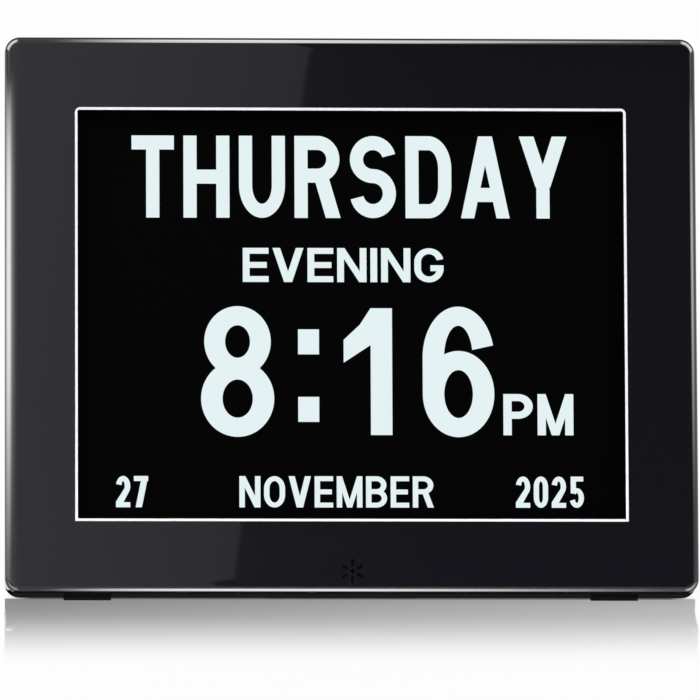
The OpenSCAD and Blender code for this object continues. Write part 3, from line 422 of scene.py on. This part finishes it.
# a thin plate from flat points in the clock's x and z, in mm, at a depth; it grows away from its seen side
def plate(name, points, triangles, depth, thickness, body, slotName):
    mesh = bpy.data.meshes.new(name)
    placed = toWorld(np.stack([points[:, 0], np.full(len(points), depth), points[:, 1]], 1))
    mesh.from_pydata(placed.tolist(), [], [triangle[::-1] for triangle in triangles])
    mesh.validate()
    piece = newPiece(name, mesh, body, slotName)
    thick = piece.modifiers.new("plateThickness", "SOLIDIFY")
    thick.thickness, thick.offset = thickness * mm, -1


# The signs of one word share its width: a sign's own width is the common width times its entry in narrow,
# and I, which is a lone stem, is one stem wide.
def litWords():
    allPoints, allFaces, start = [], [], 0
    for word, leftEnd, rightEnd, foot, cap, stroke, crossStroke in lettering["words"]:
        stem, bar, gap = stroke / cap, crossStroke / cap, lettering["gap"]
        shares = [lettering["narrow"].get(sign, 1.0) for sign in word]
        spare = (rightEnd - leftEnd) / cap - gap * (len(word) - 1) - word.count("I") * stem
        x = 0.0
        for sign, share in zip(word, shares):
            width = stem if sign == "I" else spare / sum(shares) * share
            flat, triangles = joinedShape(glyph(sign, width, stem, bar))
            allPoints.append((flat + (x, 0)) * cap + (leftEnd, foot))
            allFaces += [[start + i for i in triangle] for triangle in triangles]
            start += len(flat)
            x += width + gap
    plate("display_words", np.concatenate(allPoints), allFaces, clock["glassDepth"] - lettering["thickness"],
          lettering["thickness"] - lettering["clear"], "case", "display_light")


litWords()
print("display lettering made")

# Pad-printed marks on the keys, drawn as seen from behind: a list, arrows and a tick, in a square of size mm
# that stands raised mm over the key, clear of it by a hair.
marks = {"size": 2.0, "raised": 0.02, "clear": 0.004,
         "menu": [level(-0.5, 0.5, z, 0.16) for z in (-0.5, -0.08, 0.34)],
         "up": [[(-0.5, -0.36), (0.5, -0.36), (0, 0.46)]], "down": [[(-0.5, 0.36), (0, -0.46), (0.5, 0.36)]],
         "left": [[(0.36, -0.5), (0.36, 0.5), (-0.46, 0)]],
         "right": [[(-0.36, -0.5), (0.46, 0), (-0.36, 0.5)]],
         "ok": [[(-0.5, 0.02), (-0.36, 0.17), (-0.13, -0.1), (0.4, 0.44), (0.53, 0.3), (-0.13, -0.38)]]}


def printMarks():
    made = 0
    for nodeName, node in nodes.items():
        drawn = marks.get(nodeName.removeprefix("key_"))
        if node["finish"] != "key_black" or drawn is None:
            continue
        places = np.empty(len(node.data.vertices) * 3)
        node.data.vertices.foreach_get("co", places)
        places = toClock(places.reshape(-1, 3))
        top = places[:, 1].max()
        flatTop = places[places[:, 1] > top - 0.01]
        middle = (flatTop.min(0) + flatTop.max(0)) / 2
        points, triangles = joinedShape(drawn)
        points = points * marks["size"] * (-1, 1) + (middle[0], middle[2])
        plate("mark_" + nodeName.removeprefix("key_"), points, triangles, top + marks["raised"],
              marks["raised"] - marks["clear"], node["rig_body"], "white_plastic")
        made += 1
    return made


print("key marks printed:", printMarks())

# Studio. Reflections come from soft glowing cards that only glossy surfaces see, as softboxes set round a
# gloss product. Lengths are in metres and angles in degrees, and aimX and aimZ are in mm.
studio = {"floorSize": 6.0, "skyLevel": 0.74, "keyStrength": 0.95, "keyAngle": 50, "keyTurn": (38, -24, 0),
          "distance": 3.3, "lens": 571.2, "sensor": 36, "yaw": 2.667, "elevation": 7.236, "roll": 0.45,
          "aimX": 0.262, "aimZ": 71.54}


def softStep(low, high, value):
    t = np.clip((value - low) / (high - low), 0, 1)
    return t * t * (3 - 2 * t)


# nothing up to start, then 1 - exp(-((value - start) / reach)^1.8)
def buildUp(start, reach, value):
    return 1 - np.exp(-(np.maximum(value - start, 0) / reach) ** 1.8)


# A card is a grid whose points carry a glow (light added) and a shade (light held back). Its shape, its glow
# and its shade are functions of u and v.
def card(name, place, glow=None, shade=None, firstBounceOnly=False, oneSided=False, resolution=(96, 96),
         searched=True, tint=(1, 1, 1), inFloor=False):
    u, v = np.meshgrid(np.linspace(0, 1, resolution[0]), np.linspace(0, 1, resolution[1]), indexing="ij")
    points = np.stack(place(u, v), -1).reshape(-1, 3)
    index = np.arange(u.size).reshape(u.shape)
    faces = np.stack([index[:-1, :-1], index[1:, :-1], index[1:, 1:], index[:-1, 1:]], -1).reshape(-1, 4)
    mesh = bpy.data.meshes.new(name)
    mesh.from_pydata(points.tolist(), [], faces.tolist())
    for label, amount in (("glow", glow), ("shade", shade)):
        values = amount(u, v) if amount else np.zeros(u.shape)
        layer = mesh.attributes.new(label, "FLOAT", "POINT")
        layer.data.foreach_set("value", np.asarray(values, np.float32).ravel())
    material, tree = emptyMaterial(name + "Glow")
    glowing = addNode(tree, "ShaderNodeAttribute", attribute_name="glow").outputs["Fac"]
    shading = addNode(tree, "ShaderNodeAttribute", attribute_name="shade").outputs["Fac"]
    path = addNode(tree, "ShaderNodeLightPath")
    shownBy = []
    if firstBounceOnly:
        early = addNode(tree, "ShaderNodeMath", {0: path.outputs["Ray Depth"], 1: 1.5}, operation="LESS_THAN")
        shownBy.append(early.outputs[0])
    if oneSided:
        back = addNode(tree, "ShaderNodeNewGeometry").outputs["Backfacing"]
        shownBy.append(addNode(tree, "ShaderNodeMath", {0: 1.0, 1: back}, operation="SUBTRACT").outputs[0])
    if not inFloor:  # the floor mirrors sharply, which marks its rays, and it leaves these cards out
        marked = path.outputs["Is Singular Ray"]
        unmarked = addNode(tree, "ShaderNodeMath", {0: 1.0, 1: marked}, operation="SUBTRACT").outputs[0]
        shownBy.append(unmarked)
        shading = addNode(tree, "ShaderNodeMath", {0: shading, 1: unmarked}, operation="MULTIPLY").outputs[0]
    for share in shownBy:
        glowing = addNode(tree, "ShaderNodeMath", {0: glowing, 1: share}, operation="MULTIPLY").outputs[0]
    kept = addNode(tree, "ShaderNodeMath", {0: 1.0, 1: shading}, operation="SUBTRACT")
    kept = addNode(tree, "ShaderNodeVectorMath", {0: tint, "Scale": kept.outputs[0]}, operation="SCALE")
    through = addNode(tree, "ShaderNodeBsdfTransparent", {"Color": kept.outputs[0]})
    light = addNode(tree, "ShaderNodeEmission", {"Color": (1, 1, 1, 1), "Strength": glowing})
    both = addNode(tree, "ShaderNodeAddShader", {0: through.outputs[0], 1: light.outputs[0]})
    addNode(tree, "ShaderNodeOutputMaterial", {"Surface": both.outputs[0]})
    material.cycles.emission_sampling = "AUTO" if searched else "NONE"
    mesh.materials.append(material)
    piece = bpy.data.objects.new(name, mesh)
    bpy.context.scene.collection.objects.link(piece)
    piece.visible_camera = piece.visible_diffuse = piece.visible_shadow = piece.visible_transmission = False


# The floor mirrors the clock near its foot. The mirror's share fades ahead of the clock, to rearShare behind
# it and to sideShare beside it, and goes from the first of shares on the left to the second on the right.
# Under the clock the floor is painted dark to mirrored rays, and just behind its lower edge a contact shadow
# is painted on it. All in metres.
floorLook = {"ahead": (-0.150, -0.035), "rear": (-0.02, 0.03), "rearShare": 0.14, "side": (0.106, 0.17),
             "sideShare": 0.06, "across": (-0.1, 0.1), "shares": (0.70, 0.52), "whiteShare": 0.85,
             "underHalf": 0.1015, "underFront": -0.0352, "underBack": 0.03, "paintedShadeLight": 0.02,
             "contactFront": -0.0226, "contactFade": (-0.019, -0.006), "contactShade": 0.9,
             "contactEnd": (0.095, 0.1025)}


def buildFloor():
    size = studio["floorSize"] / 2
    mesh = bpy.data.meshes.new("studioFloor")
    mesh.from_pydata([(-size, -size, 0), (size, -size, 0), (size, size, 0), (-size, size, 0)], [],
                     [(0, 1, 2, 3)])
    material, tree = emptyMaterial("whiteAcrylicFloor")
    place = addNode(tree, "ShaderNodeTexCoord").outputs["Object"]
    split = addNode(tree, "ShaderNodeSeparateXYZ", {"Vector": place})
    x, y = split.outputs["X"], split.outputs["Y"]
    besideX = addNode(tree, "ShaderNodeMath", {0: x}, operation="ABSOLUTE").outputs[0]
    # the mirror's share
    ahead = addNode(tree, "ShaderNodeMapRange", {
        "Value": y, "From Min": floorLook["ahead"][0], "From Max": floorLook["ahead"][1],
        "To Min": 0.0, "To Max": 1.0}, interpolation_type="SMOOTHSTEP").outputs["Result"]
    rear = addNode(tree, "ShaderNodeMapRange", {
        "Value": y, "From Min": floorLook["rear"][0], "From Max": floorLook["rear"][1],
        "To Min": 1.0, "To Max": floorLook["rearShare"]}, interpolation_type="SMOOTHSTEP").outputs["Result"]
    across = addNode(tree, "ShaderNodeMapRange", {
        "Value": x, "From Min": floorLook["across"][0], "From Max": floorLook["across"][1],
        "To Min": floorLook["shares"][0], "To Max": floorLook["shares"][1]}).outputs["Result"]
    side = addNode(tree, "ShaderNodeMapRange", {
        "Value": besideX, "From Min": floorLook["side"][0], "From Max": floorLook["side"][1],
        "To Min": 1.0, "To Max": floorLook["sideShare"]}, interpolation_type="SMOOTHSTEP").outputs["Result"]
    share = ahead
    for part in (rear, across, side):
        share = addNode(tree, "ShaderNodeMath", {0: share, 1: part}, operation="MULTIPLY").outputs[0]
    # the matt floor, which mirrors and the camera see as nearly white
    path = addNode(tree, "ShaderNodeLightPath")
    seen = path.outputs["Is Glossy Ray"]
    for kind in ("Is Camera Ray", "Is Transmission Ray"):
        seen = addNode(tree, "ShaderNodeMath", {0: seen, 1: path.outputs[kind]},
                       operation="MAXIMUM").outputs[0]
    whiteShare = addNode(tree, "ShaderNodeMath", {0: seen, 1: floorLook["whiteShare"]}, operation="MULTIPLY")
    speckle = addNode(tree, "ShaderNodeTexNoise", {"Vector": place, "Scale": 1 / (1.5 * mm), "Detail": 2.0})
    tone = addNode(tree, "ShaderNodeMapRange", {
        "Value": speckle.outputs["Fac"], "To Min": 0.94, "To Max": 0.97})
    matt = addNode(tree, "ShaderNodeBsdfDiffuse", {"Color": tone.outputs["Result"]})
    white = addNode(tree, "ShaderNodeEmission", {"Color": (1, 1, 1, 1), "Strength": 1.0})
    base = addNode(tree, "ShaderNodeMixShader", {0: whiteShare.outputs[0], 1: matt.outputs[0],
                                                 2: white.outputs[0]})
    # Painted shade: the floor right under the clock, as the clock's own gloss mirrors it, is painted dark as
    # a dark gap, and so is the floor seen in reflections of reflections, so that light from behind doesn't
    # creep under the clock.
    under = addNode(tree, "ShaderNodeMath", {0: besideX, 1: floorLook["underHalf"]},
                    operation="LESS_THAN").outputs[0]
    for limit, test in (("underFront", "GREATER_THAN"), ("underBack", "LESS_THAN")):
        inside = addNode(tree, "ShaderNodeMath", {0: y, 1: floorLook[limit]}, operation=test).outputs[0]
        under = addNode(tree, "ShaderNodeMath", {0: under, 1: inside}, operation="MULTIPLY").outputs[0]
    late = addNode(tree, "ShaderNodeMath", {0: path.outputs["Ray Depth"], 1: 1.5}, operation="GREATER_THAN")
    late = addNode(tree, "ShaderNodeMath", {0: late.outputs[0], 1: under}, operation="MAXIMUM")
    late = addNode(tree, "ShaderNodeMath", {0: late.outputs[0], 1: path.outputs["Is Glossy Ray"]},
                   operation="MULTIPLY").outputs[0]
    # a contact shadow painted on the floor, seen by the camera only, just behind the line where the clock's
    # lower edge meets the floor
    contact = addNode(tree, "ShaderNodeMapRange", {
        "Value": y, "From Min": floorLook["contactFade"][0], "From Max": floorLook["contactFade"][1],
        "To Min": floorLook["contactShade"], "To Max": 0.0}).outputs["Result"]
    started = addNode(tree, "ShaderNodeMath", {0: y, 1: floorLook["contactFront"]},
                      operation="GREATER_THAN").outputs[0]
    within = addNode(tree, "ShaderNodeMapRange", {
        "Value": besideX, "From Min": floorLook["contactEnd"][0], "From Max": floorLook["contactEnd"][1],
        "To Min": 1.0, "To Max": 0.0}).outputs["Result"]
    for part in (started, within, path.outputs["Is Camera Ray"]):
        contact = addNode(tree, "ShaderNodeMath", {0: contact, 1: part}, operation="MULTIPLY").outputs[0]
    dark = addNode(tree, "ShaderNodeMath", {0: late, 1: contact}, operation="MAXIMUM").outputs[0]
    # painted shade: a faint even glow in place of the floor's own lighting wherever dark is 1
    paintedShade = addNode(tree, "ShaderNodeEmission", {"Color": (1, 1, 1, 1), "Strength": floorLook["paintedShadeLight"]})
    base = addNode(tree, "ShaderNodeMixShader", {0: dark, 1: base.outputs[0], 2: paintedShade.outputs[0]})
    mirror = addNode(tree, "ShaderNodeBsdfGlossy", {"Color": (1, 1, 1, 1), "Roughness": 0.0})
    rest = addNode(tree, "ShaderNodeMath", {0: 1.0, 1: dark}, operation="SUBTRACT")
    share = addNode(tree, "ShaderNodeMath", {0: share, 1: rest.outputs[0]}, operation="MULTIPLY").outputs[0]
    whole = addNode(tree, "ShaderNodeMixShader", {0: share, 1: base.outputs[0], 2: mirror.outputs[0]})
    addNode(tree, "ShaderNodeOutputMaterial", {"Surface": whole.outputs[0]})
    mesh.materials.append(material)
    floor = bpy.data.objects.new("studioFloor", mesh)
    bpy.context.scene.collection.objects.link(floor)


# the sky is white to the camera and in mirrors, and a little lower as light on the clock
def buildSky():
    world = bpy.data.worlds.new("paleStudio")
    world.use_nodes = True
    bpy.context.scene.world = world
    tree = world.node_tree
    tree.nodes.clear()
    path = addNode(tree, "ShaderNodeLightPath")
    seen = path.outputs["Is Camera Ray"]
    for kind in ("Is Glossy Ray", "Is Transmission Ray"):
        seen = addNode(tree, "ShaderNodeMath", {0: seen, 1: path.outputs[kind]},
                       operation="MAXIMUM").outputs[0]
    strength = addNode(tree, "ShaderNodeMapRange", {
        "Value": seen, "To Min": studio["skyLevel"], "To Max": 1.0})
    sky = addNode(tree, "ShaderNodeBackground", {
        "Color": (1, 1, 1, 1), "Strength": strength.outputs["Result"]})
    addNode(tree, "ShaderNodeOutputWorld", {"Surface": sky.outputs[0]})


buildFloor()
buildSky()
keyLight = bpy.data.lights.new("softKey", "SUN")
keyLight.energy, keyLight.angle = studio["keyStrength"], math.radians(studio["keyAngle"])
key = bpy.data.objects.new("softKey", keyLight)
bpy.context.scene.collection.objects.link(key)
key.rotation_euler = [math.radians(turn) for turn in studio["keyTurn"]]
key.visible_glossy = False

# Overhead strip: an arc round the clock's long axis, from in front of overhead to just behind it. The top
# edge at x mm from the middle mirrors the strip at stretch x + shift mm. Its glow builds up from start over
# reach, and fades from fadeStart over fadeReach by the power 1.75 of the way.
strip = {"radius": 0.5, "width": 0.4, "height": 0.14, "turn": (40, 125), "stretch": 1.1515, "shift": 23.2,
         "glow": 15, "start": -91, "reach": 24, "fadeStart": -30, "fadeReach": 127,
         "litFrom": (51, 64), "litTo": (100, 112), "thinner": 0.3}


def overhead(u, v):
    angle = np.radians(strip["turn"][0] + (strip["turn"][1] - strip["turn"][0]) * v)
    return ((u - 0.5) * strip["width"], -strip["radius"] * np.cos(angle),
            strip["height"] + strip["radius"] * np.sin(angle))


def overheadGlow(u, v):
    turn = strip["turn"][0] + (strip["turn"][1] - strip["turn"][0]) * v
    x = ((u - 0.5) * strip["width"] / mm - strip["shift"]) / strip["stretch"]
    way = np.clip((x - strip["fadeStart"]) / strip["fadeReach"], 0, 1)
    along = buildUp(strip["start"], strip["reach"], x) * (1 - way ** 1.75)
    late = strip["thinner"] * np.maximum(x - 20, 0)  # towards the right the line grows thinner
    lit = softStep(strip["litFrom"][0] + late, strip["litFrom"][1] + late, turn)
    return strip["glow"] * along * lit * (1 - softStep(*strip["litTo"], turn))


card("overheadStrip", overhead, overheadGlow)

# Low card lying in front of the clock, facing up to its lower edge, with a patch beyond each lower corner.
# Its glow along the edge goes by mm from the middle, and across the card by the share of the way outwards.
low = {"width": 0.34, "front": -0.060, "depth": 0.0255, "height": 0.0004,
       "glow": 19, "start": -94, "reach": 24, "fade": (-10, 112),
       "litFrom": (0.0, 0.08), "litTo": (0.13, 0.4),
       "patchFrom": (98.5, 101.5), "patchTo": (135, 165), "patchLeft": 5.5, "patchRight": 10}


def lowPlace(u, v):
    return (u - 0.5) * low["width"], low["front"] + low["depth"] * v, low["height"] + 0 * u


def lowGlow(u, v):
    x, outwards = (u - 0.5) * low["width"] / mm, 1 - v
    along = buildUp(low["start"], low["reach"], x) * (1 - softStep(*low["fade"], x))
    patch = softStep(*low["patchFrom"], np.abs(x)) * (1 - softStep(*low["patchTo"], np.abs(x)))
    patch = patch * np.where(x < 0, low["patchLeft"], low["patchRight"])
    lit = softStep(*low["litFrom"], outwards) * (1 - softStep(*low["litTo"], outwards))
    return lit * (low["glow"] * along + patch)


card("lowCard", lowPlace, lowGlow, firstBounceOnly=True, oneSided=True, resolution=(300, 80), searched=False)

# Upright cards: parts of a cylinder round each side edge, by azimuth from the front in degrees, negative to
# the left. The glow grows and shrinks with the azimuth, climbs with the height, in metres, from its least
# share, and dies over tail by the cube of the way.
upright = {"radius": 0.6, "top": 0.5, "middle": 0.1, "offset": 0.0115, "stretch": 1.177,
           "left": {"azimuth": (-130, 0), "glow": 17.7, "grow": (-2, 52), "shrink": (66, 135),
                    "climb": (-0.018, 0.088), "least": 0.08, "tail": (0.100, 0.158)},
           "right": {"azimuth": (10, 110), "glow": 10.1, "grow": (26, 57), "shrink": (50, 100),
                     "climb": (0.012, 0.105), "least": 0.0, "tail": (0.096, 0.154)}}


def uprightPlace(side):
    first, last = upright[side]["azimuth"]
    middle = math.copysign(upright["middle"], first + last)

    def place(u, v):
        angle = np.radians(first + (last - first) * u)
        return (middle + upright["radius"] * np.sin(angle), -upright["radius"] * np.cos(angle),
                upright["top"] * v)
    return place


# By the mirror law, an edge that leans back and is seen from above mirrors a spot at rise over the level:
# 2 cos(lean - elevation) sin(lean) cos^2(azimuth / 2) - sin(elevation). seenFrom is the edge's height there.
def uprightGlow(side):
    look = upright[side]
    first, last = look["azimuth"]
    lean, elevation = math.radians(clock["lean"]), math.radians(studio["elevation"])

    def glow(u, v):
        azimuth = np.abs(first + (last - first) * u)
        rise = 2 * math.cos(lean - elevation) * math.sin(lean) * np.cos(np.radians(azimuth / 2)) ** 2
        rise = rise - math.sin(elevation)
        above = upright["radius"] * rise / np.sqrt(1 - rise ** 2)
        seenFrom = (upright["top"] * v - above + upright["offset"]) / upright["stretch"]
        around = softStep(*look["grow"], azimuth) * (1 - softStep(*look["shrink"], azimuth))
        way = np.clip((seenFrom - look["tail"][0]) / (look["tail"][1] - look["tail"][0]), 0, 1)
        climbed = np.maximum(softStep(*look["climb"], seenFrom), look["least"])
        return look["glow"] * around * climbed * (1 - way ** 3)
    return glow


for side in ("left", "right"):
    card(side + "Card", uprightPlace(side), uprightGlow(side))

# high cards beyond the upper corners, patches of a sphere by their lift over the side and lean to the back
high = {"radius": 0.5, "middle": 0.1, "height": 0.16, "glow": 13, "lift": (8, 88), "back": (-55, 35),
        "liftFrom": (15, 25), "liftTo": (74, 86), "backFrom": (-38, -14), "backTo": (8, 24)}


def highAngles(u, v):
    return (high["lift"][0] + (high["lift"][1] - high["lift"][0]) * u,
            high["back"][0] + (high["back"][1] - high["back"][0]) * v)


def highPlace(side):
    def place(u, v):
        lift, back = np.radians(highAngles(u, v))
        outwards = high["middle"] + high["radius"] * np.cos(lift) * np.cos(back)
        return (side * outwards, high["radius"] * np.sin(back),
                high["height"] + high["radius"] * np.sin(lift) * np.cos(back))
    return place


def highGlow(u, v):
    lift, back = highAngles(u, v)
    across = softStep(*high["liftFrom"], lift) * (1 - softStep(*high["liftTo"], lift))
    return high["glow"] * across * softStep(*high["backFrom"], back) * (1 - softStep(*high["backTo"], back))


card("highLeft", highPlace(-1), highGlow)
card("highRight", highPlace(1), highGlow)

# Smoked flags in front hold back the sky that the face would mirror: lightly on the left, strongly on the
# right. They meet on a slanted line through two points, x and z in metres, which the face shows as the border
# of its two tones. Each shade goes by the share of the way from that line outwards.
flag = {"away": 1.2, "reach": 1.2, "top": 1.36, "borderLow": (0.0122, 0.485), "borderHigh": (0.0437, 0.703),
        "slanted": (0.4, 0.72), "leftShade": ((0, 0.03, 0.1, 0.2, 1), (0.44, 0.35, 0.15, 0.04, 0.0)),
        "rightShade": ((0, 0.03, 0.08, 1), (0.83, 0.87, 0.9, 0.9)), "highShade": 0.03, "high": (0.45, 0.6),
        "leftTint": (0.9, 0.9, 1.0)}


def borderX(z):
    (lowX, lowZ), (highX, highZ) = flag["borderLow"], flag["borderHigh"]
    return lowX + (highX - lowX) * (np.clip(z, *flag["slanted"]) - lowZ) / (highZ - lowZ)


def flagPlace(side):
    def place(u, v):
        z = flag["top"] * v
        return borderX(z) + (side * flag["reach"] - borderX(z)) * u, -flag["away"] + 0 * u, z
    return place


def leftShade(u, v):
    return np.interp(u, *flag["leftShade"])


def rightShade(u, v):
    return np.interp(u, *flag["rightShade"]) + flag["highShade"] * softStep(*flag["high"], v)


card("lightFlag", flagPlace(-1), shade=leftShade, searched=False, tint=flag["leftTint"])
card("darkFlag", flagPlace(1), shade=rightShade, searched=False)

# a flag behind and above, so that the top edge ends dark against the backdrop
rearFlag = {"width": 2, "radius": 0.8, "height": 0.1, "turn": (116, 166), "shade": 0.74}


def rearPlace(u, v):
    angle = np.radians(rearFlag["turn"][0] + (rearFlag["turn"][1] - rearFlag["turn"][0]) * v)
    return ((u - 0.5) * rearFlag["width"], -rearFlag["radius"] * np.cos(angle),
            rearFlag["height"] + rearFlag["radius"] * np.sin(angle))


def rearShade(u, v):
    return rearFlag["shade"] * softStep(0.0, 0.06, v) * (1 - softStep(0.85, 1.0, v))


card("rearFlag", rearPlace, shade=rearShade, searched=False)

# a low black strip behind the lower edge, so that no light comes through under the clock
kick = {"width": 0.2046, "behind": -0.0212, "height": 0.008}


def kickPlace(u, v):
    return (u - 0.5) * kick["width"], kick["behind"] + 0 * u, kick["height"] * v


def fullShade(u, v):
    return np.ones(u.shape)


card("kickFlag", kickPlace, shade=fullShade, searched=False, resolution=(4, 4), inFloor=True)

cameraData = bpy.data.cameras.new("picture")
cameraData.lens, cameraData.sensor_width, cameraData.clip_end = studio["lens"], studio["sensor"], 30
camera = bpy.data.objects.new("picture", cameraData)
bpy.context.scene.collection.objects.link(camera)
yaw, rise, roll = (math.radians(studio[angle]) for angle in ("yaw", "elevation", "roll"))
ahead = Vector((math.sin(yaw) * math.cos(rise), math.cos(yaw) * math.cos(rise), -math.sin(rise)))
right = Vector((math.cos(yaw), -math.sin(yaw), 0))
up = right.cross(ahead)
right, up = right * math.cos(roll) + up * math.sin(roll), up * math.cos(roll) - right * math.sin(roll)
spot = Vector((studio["aimX"], 0, studio["aimZ"])) * mm - ahead * studio["distance"]
camera.matrix_world = Matrix.Translation(spot) @ Matrix((right, up, -ahead)).transposed().to_4x4()
bpy.context.scene.camera = camera
bpy.context.scene.view_settings.view_transform = "Standard"
print("studio lit, camera set")
